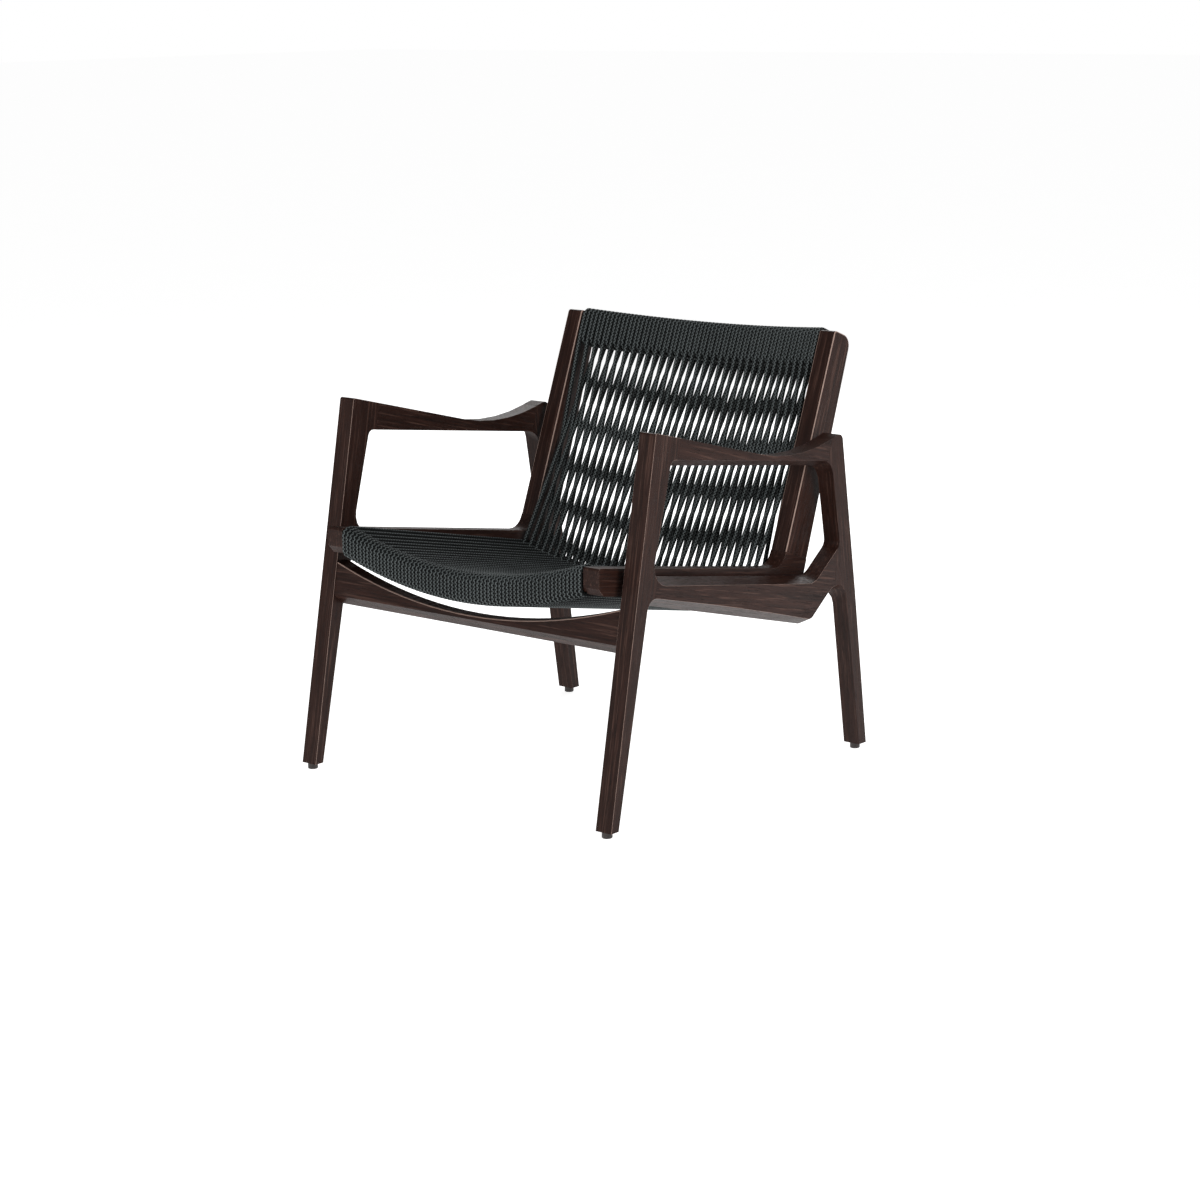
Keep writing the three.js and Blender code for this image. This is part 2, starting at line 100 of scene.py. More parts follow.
SHARP = math.radians(24)         # edges folded at least this much are rounded over
SMOOTH = math.radians(32)        # and less than this are shaded smooth
FLAT = math.radians(0.4)         # faces that meet at less than this are joined into one

# Direction of the grain in each side member, in degrees up from the rearward level.
GRAIN = {
    "front_leg": 79.1,
    "armrest": -14.2,
    "rear_leg": 96.9,
    "side_rail": -12.5,
    "seat_side": -9.3,
    "back_upright": 68.8,
}
SIDES = ("left", "right")

# Where each group's grain starts in the noise, so that no two members look alike.
FRAME_SEED = 1.7
SEAT_SEED = 13.3
RAIL_SEEDS = {"front_rail": 23.1, "rear_rail": 27.9}
BAR_SEED = 31.0
TENON_SEED = 3.0
SIDE_SEEDS = 5                   # seeds set aside for one side

ZINC = (0.42, 0.42, 0.43)
BRASS = (0.62, 0.44, 0.19)
GLIDE_BROWN = (0.020, 0.014, 0.012)

CAMERA_FOCUS = (-1.3, 0.0, 267.6)
CAMERA_TURN = (40.236, 12.354, -0.729)      # round the chair, up and rolled, in degrees
CAMERA_DISTANCE = 4773.7
CAMERA_LENS = 84.32
CAMERA_SENSOR = 36.0
CAMERA_FAR = 200.0

# Each lamp's name, place, size and power, aimed at the middle of the chair.
LAMPS = (
    ("key", (3.2, -0.6, 2.4), 1.6, 85.0),
    ("front", (-0.8, -3.6, 1.5), 1.2, 38.0),
    ("back", (-1.6, 2.8, 2.6), 2.4, 80.0),
)
LAMP_AIM = Vector((0.0, 0.0, 0.4))
WHITE = (1.0, 1.0, 1.0)
BACKDROP_LIGHT = 1.0
ROOM_LIGHT = 0.20
FLOOR_GLOW = 0.82
FLOOR_SIZE = 40.0


def at(x, y, z):
    """A point of the outlines in the metres of the frame."""
    return Vector((x, y - DATUM_Y, z)) * MM


# ---------------------------------------------------------------- materials


class Value:
    """A socket of a material's tree that takes part in ordinary arithmetic."""

    def __init__(self, finish, socket):
        self.finish = finish
        self.socket = socket

    def _math(self, operation, *values):
        return self.finish.node("Math", {"operation": operation}, dict(enumerate(values)))

    def __add__(self, other):
        return self._math("ADD", self, other)

    def __radd__(self, other):
        return self._math("ADD", other, self)

    def __sub__(self, other):
        return self._math("SUBTRACT", self, other)

    def __rsub__(self, other):
        return self._math("SUBTRACT", other, self)

    def __mul__(self, other):
        return self._math("MULTIPLY", self, other)

    def sin(self):
        return self._math("SINE", self)

    def peak(self, other):
        return self._math("MAXIMUM", self, other)

    def between(self, low, high):
        """0 below low and 1 above high, with a smooth rise."""
        settings = {"interpolation_type": "SMOOTHSTEP"}
        return self.finish.node(
            "MapRange", settings, {"Value": self, "From Min": low, "From Max": high}
        )


class Finish:
    """A material and the one method that adds nodes to it."""

    def __init__(self, name):
        self.material = bpy.data.materials.new(name)
        self.material.use_nodes = True
        self.tree = self.material.node_tree
        self.tree.nodes.clear()

    def node(self, kind, settings=None, inputs=None, output=0):
        """Adds a node and gives back one of its outputs, by name or by number."""
        node = self.tree.nodes.new("ShaderNode" + kind)
        for key, value in (settings or {}).items():
            setattr(node, key, value)
        for key, value in (inputs or {}).items():
            target = self._input(node, key)
            if isinstance(value, Value):
                self.tree.links.new(value.socket, target)
            elif isinstance(value, tuple) and target.type == "RGBA":
                target.default_value = (*value, 1.0)
            else:
                target.default_value = value
        return Value(self, self._socket(node.outputs, output))

    def _input(self, node, key):
        return node.inputs[key] if isinstance(key, int) else self._socket(node.inputs, key)

    def _socket(self, sockets, key):
        usable = [s for s in sockets if s.enabled]
        return usable[key] if isinstance(key, int) else next(s for s in usable if s.name == key)

    def place(self):
        """The point that is shaded, in the piece's own metres."""
        return self.node("TexCoord", None, None, "Object")

    def noise(self, place, scale, detail=2.0, rough=0.5, distortion=0.0):
        """Noise from 0 to 1, its grains 1 / scale of a metre across in x, y and z."""
        scaled = self.node("VectorMath", {"operation": "MULTIPLY"}, {0: place, 1: scale})
        inputs = {"Vector": scaled, "Scale": 1.0, "Detail": detail}
        inputs |= {"Roughness": rough, "Distortion": distortion}
        return self.node("TexNoise", None, inputs, "Fac")

    def mix(self, factor, a, b):
        inputs = {"Factor": factor, "A": a, "B": b}
        return self.node("Mix", {"data_type": "RGBA"}, inputs, "Result")

    def bump(self, height, distance, strength):
        inputs = {"Height": height, "Distance": distance, "Strength": strength}
        return self.node("Bump", None, inputs)

    def surface(self, **inputs):
        """Ends the tree in one Principled shader; keys are its sockets with _ for a space."""
        named = {key.replace("_", " "): value for key, value in inputs.items()}
        shader = self.node("BsdfPrincipled", None, named)
        end = self.tree.nodes.new("ShaderNodeOutputMaterial")
        self.tree.links.new(shader.socket, end.inputs["Surface"])
        return self.material


def stained_wood(name, angle, seed, colours):
    """Open-grained hardwood under a dark stain. angle turns the grain in the side plane,
    and None runs it across the chair. The grain is closer through the member's thickness
    than across its width."""
    dark, light, bright, pore, worn_and_highlight = colours
    finish = Finish(name)
    turn = (0.0, 0.0, 0.0) if angle is None else (-math.radians(angle), 0.0, -math.pi / 2)
    inputs = {"Vector": finish.place(), "Rotation": turn}
    inputs["Location"] = (0.37 * seed, 0.83 * seed, 1.31 * seed)
    along = finish.node("Mapping", None, inputs)
    figure = finish.noise(along, (3.0, 90.0, 60.0), 3.0, 0.55, 0.7)
    streak = finish.noise(along, (8.0, 300.0, 240.0), 3.0, 0.6, 0.2)
    line = finish.noise(along, (9.0, 430.0, 230.0))
    pores = finish.noise(along, (38.0, 1150.0, 1150.0), 2.0, 0.6).between(0.53, 0.66)
    cloud = finish.noise(along, (9.0, 17.0, 17.0))
    colour = finish.mix((figure * 0.45 + streak * 0.55).between(0.34, 0.70), dark, light)
    colour = finish.mix(line.between(0.55, 0.68) * 0.55, colour, bright)
    colour = finish.mix(pores * 0.75, colour, pore)
    colour = finish.mix(cloud.between(0.35, 0.7) * 0.25, colour, dark)
    # The bevel faces marked 'edge' are paled towards the rubbed-edge colour in noisy patches:
    # partly stain rubbed thin, partly a painted highlight along the edges.
    edge = finish.node("Attribute", {"attribute_name": "edge"}, None, "Fac")
    rubbed_and_highlit = finish.noise(along, (60.0, 160.0, 160.0), 3.0)
    colour = finish.mix(edge * (0.55 + rubbed_and_highlit * 0.45), colour, worn_and_highlight)
    rough = 0.40 + pores * 0.18 + (streak - 0.5) * 0.14 + (cloud - 0.5) * 0.10
    relief = finish.bump(streak * 0.35 - pores * 0.65, 0.00035, 0.55)
    return finish.surface(
        Base_Color=colour, Roughness=rough, Normal=relief, Specular_IOR_Level=0.11
    )


def plain_wood(name, seed):
    """Unstained hardwood, for the pieces inside the joints."""
    finish = Finish(name)
    inputs = {"Vector": finish.place(), "Location": (seed, 0.0, 0.0)}
    along = finish.node("Mapping", None, inputs)
    streak = finish.noise(along, (20.0, 400.0, 400.0), 3.0, 0.6, 0.3)
    colour = finish.mix(streak.between(0.3, 0.7), (0.42, 0.27, 0.15), (0.60, 0.43, 0.26))
    relief = finish.bump(streak, 0.0003, 0.4)
    return finish.surface(Base_Color=colour, Roughness=0.6 + streak * 0.15, Normal=relief)


def braided_cord(name, dark, light):
    """Braided cord. The UV map holds metres along the cord and turns round it. Painted shade
    darkens the braid's hollows and the sides where the strands face their neighbours, a quarter
    turn from the crowns."""
    finish = Finish(name)
    uv = finish.node("UVMap", {"uv_map": "cord"})
    length = finish.node("SeparateXYZ", None, {"Vector": uv}, "X")
    turns = finish.node("SeparateXYZ", None, {"Vector": uv}, "Y")
    lay = length * (math.tau / BRAID_LAY)
    spin = turns * (math.tau * BRAID_STRANDS)
    over = ((lay + spin).sin() * 0.5 + 0.5).peak((lay - spin).sin() * 0.5 + 0.5)
    place = finish.place()
    tone = finish.noise(place, (9.0, 9.0, 9.0), 3.0)
    fleck = finish.noise(place, (1400.0, 1400.0, 1400.0), 2.0, 0.7)
    # Painted shade between the strands: 0 on the sides that face the neighbouring strands, 1 on
    # the crowns.
    lit_crown = 0.5 - (turns * (math.tau * 2) + math.pi / 2).sin() * 0.5
    # The braid's hollows get painted shade, the dark colour, varied at random by tone and flecks.
    thread_and_shade = over + (tone - 0.5) * 0.25 + (fleck - 0.5) * 0.30
    lit = thread_and_shade.between(0.55, 1.0) * (0.08 + lit_crown.between(0.05, 0.8) * 0.92)
    return finish.surface(
        Base_Color=finish.mix(lit, dark, light),
        Roughness=0.72 + (fleck - 0.5) * 0.2 + (1 - over) * 0.1,
        Normal=finish.bump(over * 0.8 + fleck * 0.2, 0.0007, 1.0),
        Specular_IOR_Level=0.10,
    )


def turned_metal(name, colour, rough):
    """Zinc-plated steel or brass with fine marks."""
    finish = Finish(name)
    place = finish.place()
    marks = finish.noise(place, (2200.0, 300.0, 300.0), 3.0, 0.6)
    dull = finish.noise(place, (90.0, 90.0, 90.0), 3.0)
    dim = tuple(c * 0.72 for c in colour)
    return finish.surface(
        Base_Color=finish.mix(dull.between(0.35, 0.7), colour, dim),
        Metallic=1.0,
        Roughness=rough + marks * 0.18 + dull * 0.1,
        Normal=finish.bump(marks, 0.0001, 0.3),
    )


def moulded_plastic(name, colour):
    """Dark moulded plastic with a fine spark-eroded surface."""
    finish = Finish(name)
    place = finish.place()
    pits = finish.noise(place, (1600.0, 1600.0, 1600.0), 2.0, 0.6)
    scuff = finish.noise(place, (120.0, 120.0, 120.0), 3.0)
    light = tuple(min(1.0, c * 1.7) for c in colour)
    tint = finish.mix(scuff.between(0.4, 0.75), colour, light)
    relief = finish.bump(pits, 0.0002, 0.4)
    return finish.surface(Base_Color=tint, Roughness=0.42 + scuff * 0.2, Normal=relief)


# ---------------------------------------------------------------- pieces


def linked(make, name, material):
    """Makes an object from what the given function puts in a bmesh."""
    bm = bmesh.new()
    make(bm)
    mesh = bpy.data.meshes.new(name)
    bm.to_mesh(mesh)
    bm.free()
    mesh.materials.append(material)
    made = bpy.data.objects.new(name, mesh)
    bpy.context.scene.collection.objects.link(made)
    return made


def finished(make, name, nodes, material):
    """Makes a piece of the chair under the root body, and hides the CAD nodes that it stands for.
    """
    piece = linked(make, name, material)
    piece.data.shade_smooth()
    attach(piece, "root")
    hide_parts(*nodes)
    return piece


def dress(node, material):
    """Gives a CAD node its material."""
    cad = bpy.data.objects[node]
    if not cad.material_slots:
        cad.data.materials.append(material)
    for slot in cad.material_slots:
        slot.material = material


def near_line(point, line):
    """Whether a side-plane point lies on a joint's broken line."""
    p = Vector(point)
    for a, b in zip(line, line[1:]):
        a, b = Vector(a), Vector(b)
        along = max(0.0, min(1.0, (p - a).dot(b - a) / (b - a).length_squared))
        if (p - a - (b - a) * along).length < JOINT_REACH:
            return True
    return False


def on_joint(edge):
    """Whether both ends of an edge lie on one joint's face."""
    ends = [(v.co.y / MM + DATUM_Y, v.co.z / MM) for v in edge.verts]
    xs = [abs(v.co.x) / MM for v in edge.verts]
    up = (math.sin(BACK_LEAN), math.cos(BACK_LEAN))
    level = [(y - SHOULDER[0]) * up[0] + (z - SHOULDER[1]) * up[1] for y, z in ends]
    inner, outer = SEAT_FACES
    if max(map(abs, level)) < SHOULDER_REACH and inner - 0.1 < min(xs) and max(xs) < outer + 0.2:
        return True
    if min(xs) < FRAMES_FROM:
        return False
    return any(all(near_line(end, line) for end in ends) for line in JOINT_LINES)


def on_faces(edge, faces):
    """Whether an edge lies in one of the upright faces at these distances from the middle."""
    return any(all(abs(abs(v.co.x) / MM - face) < 0.05 for v in edge.verts) for face in faces)


def to_round(edge, faces):
    """Whether an edge of a member is rounded over. With no faces it is a cross rail, whose
    ends and tenon pockets stay sharp."""
    if len(edge.link_faces) != 2 or edge.calc_face_angle() < SHARP:
        return False
    if faces:
        return on_faces(edge, faces) and not on_joint(edge)
    low, high = RAIL_POCKETS
    in_pocket = any(low < abs(v.co.x) / MM < high for v in edge.verts)
    return not on_faces(edge, (RAIL_HALF,)) and not in_pocket and not on_joint(edge)


def eased(node, faces, ease):
    """A merged copy of a CAD member with its long edges rounded over."""

    def make(bm):
        bm.from_mesh(bpy.data.objects[node].data)
        bmesh.ops.remove_doubles(bm, verts=bm.verts, dist=2e-6)
        bmesh.ops.dissolve_limit(
            bm, angle_limit=FLAT, verts=bm.verts, edges=bm.edges, use_dissolve_boundaries=False
        )
        # Marks the rounded faces. The stain paints them paler, partly as rubbed stain and partly
        # as a painted highlight.
        marked = bm.faces.layers.float.new("edge")
        made = bmesh.ops.bevel(
            bm,
            geom=[edge for edge in bm.edges if to_round(edge, faces)],
            offset=ease,
            segments=3,
            affect="EDGES",
            profile=0.5,
            material=-1,
            clamp_overlap=True,
        )
        for face in made["faces"]:
            face[marked] = 1.0
        for edge in bm.edges:
            if len(edge.link_faces) == 2:
                edge.smooth = edge.calc_face_angle() < SMOOTH

    return make


def weigh_normals(piece):
    """Keeps the broad faces flat in shading next to their rounded edges."""
    keep = piece.modifiers.new("broad faces", "WEIGHTED_NORMAL")
    keep.keep_sharp = True
    keep.weight = 60


# ---------------------------------------------------------------- cord route


def bow(x):
    """How far along its bow a bar is: 1 in the middle and 0 at the ends."""
    return 1 - (x / BAR_HALF) ** 2


def turned(vector, angle):
    """The vector turned anticlockwise."""
    c, s = math.cos(angle), math.sin(angle)
    return Vector((vector.x * c - vector.y * s, vector.x * s + vector.y * c))


def nearest(angle, wanted):
    """The same angle, in the turn nearest to the wanted one."""
    return angle + math.tau * round((wanted - angle) / math.tau)


def tangent(c1, r1, turn1, c2, r2, turn2):
    """Angles where a straight run leaves one turned circle and meets the next.
    turn is 1 for a cord going anticlockwise round its circle and -1 for clockwise."""
    gap = c2 - c1
    offset = turn1 * r1 - turn2 * r2
    run = math.sqrt(gap.length_squared - offset**2)
    heading = math.atan2(gap.y, gap.x) + math.atan2(offset, run)
    return heading - turn1 * math.pi / 2, heading - turn2 * math.pi / 2


class Bar:
    """A bowed bar as the cord meets it: a box with round corners, seen from the side."""

    def __init__(self, centre, half, corner, lean, reach):
        self.centre = centre
        self.arms = (half[0] - corner, half[1] - corner)
        self.lean = lean
        self.r = corner + reach

    def corner(self, x, n, t):
        """Centre of a corner: n is 1 at the rear and t is 1 at the top."""
        local = Vector((n * self.arms[0], t * self.arms[1]))
        return self.centre(x) + turned(local, -self.lean)


def bars(cord):
    """The front, fold and top bar, for a cord of this diameter in millimetres."""
    reach = cord / 2 + CORD_GAP
    rear = Vector((math.cos(BACK_LEAN), -math.sin(BACK_LEAN)))

    def front_centre(x):
        return Vector((FRONT_BAR[0], FRONT_BAR[1] - FRONT_DIP * bow(x)))

    def fold_centre(x):
        return Vector(FOLD_BAR) + Vector(FOLD_BOW) * bow(x)

    def top_centre(x):
        return Vector(TOP_BAR) + rear * (TOP_BOW * bow(x))

    return (
        Bar(front_centre, FRONT_HALF, BAR_CORNER, 0.0, reach),
        Bar(fold_centre, FOLD_HALF, FOLD_CORNER, FOLD_TILT, reach),
        Bar(top_centre, TOP_HALF, BAR_CORNER, BACK_LEAN, reach),
    )


def cord_route(settings):
    """Points along the whole cord, with None wherever a straight run follows.

    A turn of the cord has two places on each bar, near and far, half a pitch apart. Angles
    are counted from the rear, and a quarter turn is straight up.
    """
    front, fold, top = bars(settings.cord / MM)
    pitch = settings.pitch / MM
    half = pitch / 2
    first = -(settings.turns * pitch - half) / 2
    points = []

    def arc(bar, n, t, a0, a1, x0, x1=None):
        """A turn round one corner of a bar, while the cord moves from x0 to x1."""
        x1 = x0 if x1 is None else x1
        pieces = max(1, math.ceil(abs(a1 - a0) / ARC_STEP - 1e-6))
        for k in range(pieces + 1):
            f = k / pieces
            x = x0 + (x1 - x0) * f
            a = a0 + (a1 - a0) * f
            p = bar.corner(x, n, t) + Vector((math.cos(a), math.sin(a))) * bar.r
            points.append(Vector((x, p.x, p.y)))

    def straight(bar1, corner1, turn1, x1, bar2, corner2, turn2, x2):
        """Angles where a run leaves a corner of one bar and meets a corner of the next."""
        c1, c2 = bar1.corner(x1, *corner1), bar2.corner(x2, *corner2)
        return tangent(c1, bar1.r, turn1, c2, bar2.r, turn2)

    quarter = math.pi / 2
    lean, tilt = -BACK_LEAN, -FOLD_TILT
    for k in range(settings.turns):
        near = first + pitch * k
        far = near + half
        came = near - half * 0.65 if k else near
        off, meet = straight(fold, (-1, 1), 1, near, front, (1, 1), 1, near)
        leave, low = straight(front, (-1, -1), 1, far, fold, (1, -1), 1, near)
        rise, land = straight(fold, (1, -1), 1, near, top, (-1, -1), -1, near)
        drop, catch = straight(top, (1, -1), -1, far, fold, (-1, 1), 1, far)
        # Over the top of the fold bar, sideways from the last turn's place, and forward.
        arc(fold, 1, 1, tilt, tilt + quarter, came, near)
        arc(fold, -1, 1, tilt + quarter, nearest(off, tilt + quarter), near)
        points.append(None)
        # Over the front bar, once more round it, and away underneath.
        arc(front, 1, 1, nearest(meet, quarter), quarter, near)
        arc(front, -1, 1, quarter, 2 * quarter, near)
        arc(front, -1, -1, 2 * quarter, 3 * quarter, near)
        arc(front, 1, -1, 3 * quarter, 4 * quarter, near + half * 0.1, near + half * 0.4)
        arc(front, 1, 1, 0.0, quarter, near + half * 0.6, near + half * 0.95)
        arc(front, -1, 1, quarter, 2 * quarter, far)
        arc(front, -1, -1, 2 * quarter, nearest(leave, 3 * quarter), far)
        points.append(None)
        # Under the fold bar and up its back.
        arc(fold, 1, -1, nearest(low, -quarter), nearest(rise, 0.0), near)
        points.append(None)
        # Up the front of the top bar, over it, once more round it, and down behind.
        arc(top, -1, -1, nearest(land, lean + 2 * quarter), lean + 2 * quarter, near)
        arc(top, -1, 1, lean + 2 * quarter, lean + quarter, near)
        arc(top, 1, 1, lean + quarter, lean, near)
        arc(top, 1, -1, lean, lean - quarter, near + half * 0.2, near + half * 0.45)
        arc(top, -1, -1, lean - quarter, lean - 2 * quarter, near + half * 0.55, near + half * 0.9)
        arc(top, -1, 1, lean + 2 * quarter, lean + quarter, far)
        arc(top, 1, 1, lean + quarter, lean, far)
        arc(top, 1, -1, lean, nearest(drop, lean), far)
        points.append(None)
        # Down the front of the fold bar, under it and up behind.
        arc(fold, -1, 1, nearest(catch, 2 * quarter), tilt + 2 * quarter, far)
        arc(fold, -1, -1, tilt + 2 * quarter, tilt + 3 * quarter, far)
        arc(fold, 1, -1, tilt + 3 * quarter, tilt + 4 * quarter, far, far + half * 0.1)
    return points


def smooth_points(route, sway):
    """The route with near-equal points dropped and a slight sway in its straight runs."""
    points = []
    after_run = False
    chance = random.Random(SWAY_SEED)
    for item in route:
        if item is None:
            after_run = True
            continue
        if points and (item - points[-1]).length < SAME_POINT:
            continue
        if after_run:
            start = points[-1]
            aside = chance.uniform(-sway, sway) / MM
            for k in range(1, RUN_LENGTHS):
                f = k / RUN_LENGTHS
                shift = Vector((aside * math.sin(math.tau * f), 0.0, 0.0))
                points.append(start.lerp(item, f) + shift)
            after_run = False
        points.append(item)
    return points


def cord_mesh(settings):
    """One tube along the whole route, from a grid rolled round the cord's middle."""
    points = smooth_points(cord_route(settings), settings.sway)
    sides = settings.cord_sides
    radius = settings.cord / 2
    centres = [at(*p) for p in points]
    count = len(centres)
    reached = [0.0]
    for a, b in zip(centres, centres[1:]):
        reached.append(reached[-1] + (b - a).length)
    across = Vector((1.0, 0.0, 0.0))

    def make(bm):
        bmesh.ops.create_grid(bm, x_segments=count - 1, y_segments=sides, size=1.0)
        uv = bm.loops.layers.uv.new("cord")
        index = {}
        for v in bm.verts:
            i = round((v.co.x + 1) / 2 * (count - 1))
            j = round((v.co.y + 1) / 2 * sides)
            index[v] = (i, j)
        for face in bm.faces:
            for loop in face.loops:
                i, j = index[loop.vert]
                loop[uv].uv = (reached[i], j / sides)
        frames = []
        for i, centre in enumerate(centres):
            ahead = centres[min(i + 1, count - 1)] - centres[max(i - 1, 0)]
            ahead.normalize()
            side = (across - ahead * across.dot(ahead)).normalized()
            frames.append((centre, side, ahead.cross(side)))
        for v, (i, j) in index.items():
            centre, side, lift = frames[i]
            a = math.tau * (j % sides) / sides
            v.co = centre + (side * math.cos(a) + lift * math.sin(a)) * radius
        bmesh.ops.remove_doubles(bm, verts=bm.verts, dist=1e-6)
        bmesh.ops.holes_fill(bm, edges=[e for e in bm.edges if e.is_boundary], sides=sides)
        bmesh.ops.recalc_face_normals(bm, faces=bm.faces)

    return make


# ---------------------------------------------------------------- stage


def lay_floor():
    """A pale floor that glows a little, so that it reads white up to the horizon."""
    paint = Finish("floor paint")
    tone = paint.noise(paint.place(), (3.0, 3.0, 3.0))
    material = paint.surface(
        Base_Color=paint.mix(tone, (0.80, 0.80, 0.80), (0.83, 0.83, 0.83)),
        Roughness=1.0,
        Specular_IOR_Level=0.0,
        Emission_Color=WHITE,
        Emission_Strength=FLOOR_GLOW,
    )

    def make(bm):
        bmesh.ops.create_grid(bm, x_segments=2, y_segments=2, size=FLOOR_SIZE)

    linked(make, "floor", material)


def studio_world():
    """A room that lights the chair softly and is seen as plain white."""
    world = bpy.data.worlds.new("studio")
    world.use_nodes = True
    nodes, links = world.node_tree.nodes, world.node_tree.links
    backdrop = nodes["Background"]
    room = nodes.new("ShaderNodeBackground")
    for light, strength in ((backdrop, BACKDROP_LIGHT), (room, ROOM_LIGHT)):
        light.inputs["Color"].default_value = (*WHITE, 1.0)
        light.inputs["Strength"].default_value = strength
    seen = nodes.new("ShaderNodeLightPath")
    choice = nodes.new("ShaderNodeMixShader")
    links.new(seen.outputs["Is Camera Ray"], choice.inputs["Fac"])
    links.new(room.outputs[0], choice.inputs[1])
    links.new(backdrop.outputs[0], choice.inputs[2])
    links.new(choice.outputs[0], nodes["World Output"].inputs["Surface"])
    return world


def hang_lamp(name, place, size, power):
    """A square lamp that faces the middle of the chair."""
    data = bpy.data.lights.new(name, "AREA")
    data.size = size
    data.energy = power
    lamp = bpy.data.objects.new(name, data)
    lamp.location = place
    aim = LAMP_AIM - Vector(place)
    lamp.rotation_euler = aim.to_track_quat("-Z", "Y").to_euler()
    bpy.context.scene.collection.objects.link(lamp)


def set_camera():
    """The camera, turned round the chair, raised and slightly rolled."""
    turn, rise, roll = map(math.radians, CAMERA_TURN)
    level = Vector((math.sin(turn), -math.cos(turn), 0.0)) * math.cos(rise)
    back = level + Vector((0.0, 0.0, math.sin(rise)))
    right = Vector((0.0, 0.0, 1.0)).cross(back).normalized()
    up = back.cross(right)
    tilted_right = right * math.cos(roll) + up * math.sin(roll)
    tilted_up = up * math.cos(roll) - right * math.sin(roll)
    data = bpy.data.cameras.new("camera")
    data.lens = CAMERA_LENS
    data.sensor_width = CAMERA_SENSOR
    data.clip_end = CAMERA_FAR
    camera = bpy.data.objects.new("camera", data)
    bpy.context.scene.collection.objects.link(camera)
    turned_to = Matrix((tilted_right, tilted_up, back)).transposed().to_4x4()
    position = at(*CAMERA_FOCUS) + back * CAMERA_DISTANCE * MM
    camera.matrix_world = Matrix.Translation(position) @ turned_to
    return camera


# ---------------------------------------------------------------- settings


class ARMCHAIR_PG_cord(bpy.types.PropertyGroup):
    cord: bpy.props.FloatProperty(
        name="Cord", description="Diameter of the cord",
        default=0.0074, min=0.004, max=0.01, unit="LENGTH",
    )
    pitch: bpy.props.FloatProperty(
        name="Pitch", description="Spacing of the strands in one layer",
        default=0.01576, unit="LENGTH",
    )
    sway: bpy.props.FloatProperty(
        name="Sway", description="How far a strand wanders sideways",
        default=0.0009, unit="LENGTH",
    )
    turns: bpy.props.IntProperty(
        name="Turns", description="Number of times the cord goes round the seat and back",
        default=33, min=4,
    )
    cord_sides: bpy.props.IntProperty(
        name="Sides", description="Number of flats round the cord", default=10, min=6
    )
    # Painted shade: the dark colour fills the braid's hollows and the strands' sides that face
    # their neighbours; the light colour lies on the crowns.
    dark: bpy.props.FloatVectorProperty(
        name="Dark thread", description="Colour in the hollows of the braid",
        default=(0.0012, 0.0018, 0.0018), size=3, subtype="COLOR",
    )
    light: bpy.props.FloatVectorProperty(
        name="Light thread", description="Colour on the crowns of the braid",
        default=(0.100, 0.113, 0.114), size=3, subtype="COLOR",
    )


class ARMCHAIR_PG_wood(bpy.types.PropertyGroup):
    ease: bpy.props.FloatProperty(
        name="Eased edge", description="Width of the rounding along the edges",
        default=0.0015, unit="LENGTH",
    )
    dark: bpy.props.FloatVectorProperty(
        name="Dark stain", description="Stain in the dense wood",
        default=(0.0150, 0.0057, 0.0039), size=3, subtype="COLOR",
    )
    light: bpy.props.FloatVectorProperty(
        name="Light stain", description="Stain in the light wood",
        default=(0.0360, 0.0148, 0.0106), size=3, subtype="COLOR",
    )
    bright: bpy.props.FloatVectorProperty(
        name="Grain lines", description="Stain along the palest lines of the grain",
        default=(0.095, 0.049, 0.037), size=3, subtype="COLOR",
    )
    pore: bpy.props.FloatVectorProperty(
        name="Pores", description="Colour inside the open pores",
        default=(0.006, 0.0028, 0.0022), size=3, subtype="COLOR",
    )
    # Paler colour for the eased edges: partly stain rubbed thin, partly a painted highlight.
    worn_and_highlight: bpy.props.FloatVectorProperty(
        name="Rubbed_and_highlit edge", description="Colour where the stain is rubbed thin",
        default=(0.40, 0.28, 0.235), size=3, subtype="COLOR",
    )


def wood_colours():
    """The stain's colours in the order that the wood's material takes them."""
    wood = bpy.context.scene.armchair_wood
    return tuple(tuple(c) for c in (wood.dark, wood.light, wood.bright, wood.pore, wood.worn_and_highlight))


def member(node, kind, faces, seed):
    """One stained member with eased edges, in place of its CAD node."""
    wood = bpy.context.scene.armchair_wood
    material = stained_wood(f"stain {node}", GRAIN.get(kind), seed, wood_colours())
    piece = finished(
        eased(node, faces, wood.ease), f"{node}_eased", [node], material
    )
    weigh_normals(piece)


# ---------------------------------------------------------------- operators


class ARMCHAIR_OT_side_frames(bpy.types.Operator):
    """Side frames: front leg, armrest, rear leg and side rail on each side"""

    bl_idname = "armchair.side_frames"
    bl_label = "Side Frames"

    def execute(self, context):
        for i, side in enumerate(SIDES):
            for k, kind in enumerate(("front_leg", "armrest", "rear_leg", "side_rail")):
                seed = FRAME_SEED + SIDE_SEEDS * i + k
                member(f"{side}_{kind}", kind, FRAME_FACES, seed)
        return {"FINISHED"}


class ARMCHAIR_OT_seat_sides(bpy.types.Operator):
    """The two L-shaped sides of the seat frame"""

    bl_idname = "armchair.seat_sides"
    bl_label = "Seat Sides"

    def execute(self, context):
        for i, side in enumerate(SIDES):
            for k, kind in enumerate(("seat_side", "back_upright")):
                seed = SEAT_SEED + SIDE_SEEDS * i + k
                member(f"{side}_{kind}", kind, SEAT_FACES, seed)
        return {"FINISHED"}


class ARMCHAIR_OT_cross_rails(bpy.types.Operator):
    """The front and rear rails between the side frames"""

    bl_idname = "armchair.cross_rails"
    bl_label = "Cross Rails"

    def execute(self, context):
        for node, seed in RAIL_SEEDS.items():
            member(node, None, None, seed)
        return {"FINISHED"}


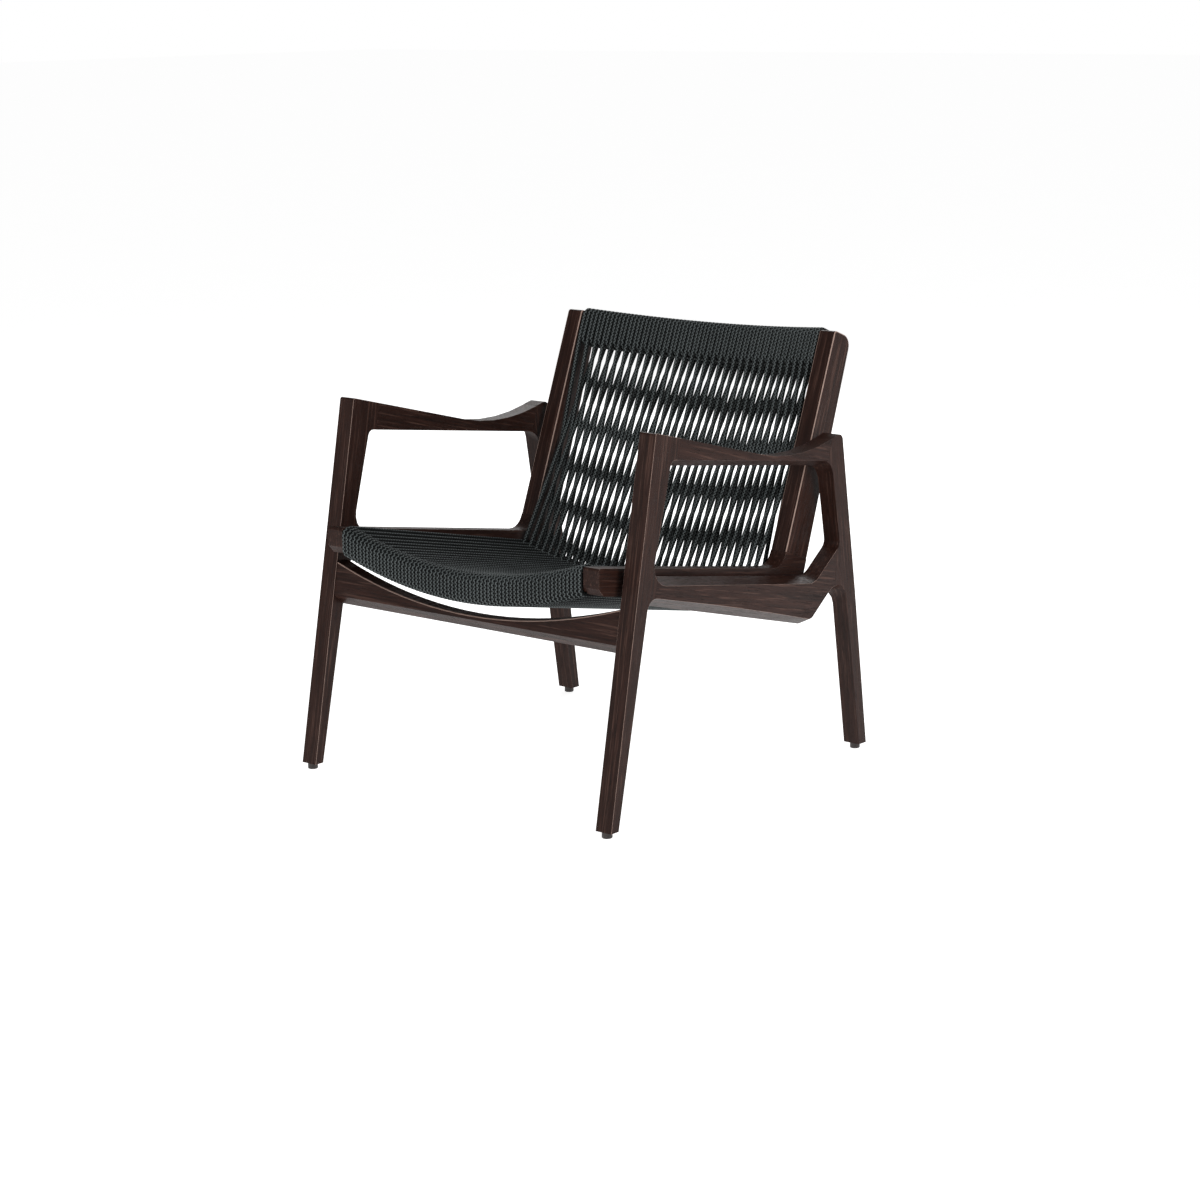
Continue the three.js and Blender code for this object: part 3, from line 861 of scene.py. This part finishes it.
class ARMCHAIR_OT_bars(bpy.types.Operator):
    """The bowed bars inside the cord and the loose tenons in the joints"""

    bl_idname = "armchair.bars"
    bl_label = "Bars and Tenons"

    def execute(self, context):
        stained = stained_wood("stain bars", None, BAR_SEED, wood_colours())
        plain = plain_wood("plain hardwood", TENON_SEED)
        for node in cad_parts:
            if node.endswith("_bar"):
                dress(node, stained)
            elif node.endswith("_tenon"):
                dress(node, plain)
        return {"FINISHED"}


class ARMCHAIR_OT_hardware(bpy.types.Operator):
    """Bolts, spacers, threaded inserts and the glides under the legs"""

    bl_idname = "armchair.hardware"
    bl_label = "Hardware"

    def execute(self, context):
        steel = turned_metal("zinc-plated steel", ZINC, 0.28)
        brass = turned_metal("insert brass", BRASS, 0.26)
        plastic = moulded_plastic("glide plastic", GLIDE_BROWN)
        finishes = {"_bolt": steel, "_spacer": steel, "_insert": brass, "_glide": plastic}
        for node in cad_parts:
            for ending, material in finishes.items():
                if node.endswith(ending):
                    dress(node, material)
        return {"FINISHED"}


class ARMCHAIR_OT_cord(bpy.types.Operator):
    """The braided cord wound over the three bars as seat and back"""

    bl_idname = "armchair.cord"
    bl_label = "Wound Cord"

    def execute(self, context):
        settings = context.scene.armchair_cord
        material = braided_cord("braided cord", tuple(settings.dark), tuple(settings.light))
        nodes = ("front_winding", "junction_winding", "top_winding")
        nodes += ("seat_cords_upper", "seat_cords_lower", "back_cords")
        finished(cord_mesh(settings), "wound_cord", nodes, material)
        return {"FINISHED"}


class ARMCHAIR_OT_stage(bpy.types.Operator):
    """Pale floor, soft lights and the camera"""

    bl_idname = "armchair.stage"
    bl_label = "Stage"

    def execute(self, context):
        context.scene.view_settings.view_transform = "Standard"
        lay_floor()
        context.scene.world = studio_world()
        for lamp in LAMPS:
            hang_lamp(*lamp)
        context.scene.camera = set_camera()
        return {"FINISHED"}


class ARMCHAIR_PT_build(bpy.types.Panel):
    """Shows the wood and cord settings and a button for each group of pieces"""

    bl_idname = "ARMCHAIR_PT_build"
    bl_label = "Armchair"
    bl_space_type = "VIEW_3D"
    bl_region_type = "UI"
    bl_category = "Armchair"

    def draw(self, context):
        layout = self.layout
        for group in (context.scene.armchair_wood, context.scene.armchair_cord):
            for key in group.bl_rna.properties.keys():
                if key not in ("rna_type", "name"):
                    layout.prop(group, key)
        for operator in OPERATORS:
            layout.operator(operator.bl_idname)


OPERATORS = (
    ARMCHAIR_OT_stage,
    ARMCHAIR_OT_side_frames,
    ARMCHAIR_OT_seat_sides,
    ARMCHAIR_OT_cross_rails,
    ARMCHAIR_OT_bars,
    ARMCHAIR_OT_hardware,
    ARMCHAIR_OT_cord,
)
CLASSES = (ARMCHAIR_PG_cord, ARMCHAIR_PG_wood, *OPERATORS, ARMCHAIR_PT_build)


def register():
    for cls in CLASSES:
        bpy.utils.register_class(cls)
    bpy.types.Scene.armchair_cord = bpy.props.PointerProperty(type=ARMCHAIR_PG_cord)
    bpy.types.Scene.armchair_wood = bpy.props.PointerProperty(type=ARMCHAIR_PG_wood)


def unregister():
    del bpy.types.Scene.armchair_wood
    del bpy.types.Scene.armchair_cord
    for cls in reversed(CLASSES):
        bpy.utils.unregister_class(cls)


def main():
    register()
    bpy.ops.armchair.stage()
    bpy.ops.armchair.side_frames()
    bpy.ops.armchair.seat_sides()
    bpy.ops.armchair.cross_rails()
    bpy.ops.armchair.bars()
    bpy.ops.armchair.hardware()
    bpy.ops.armchair.cord()


if __name__ == "__main__":
    main()
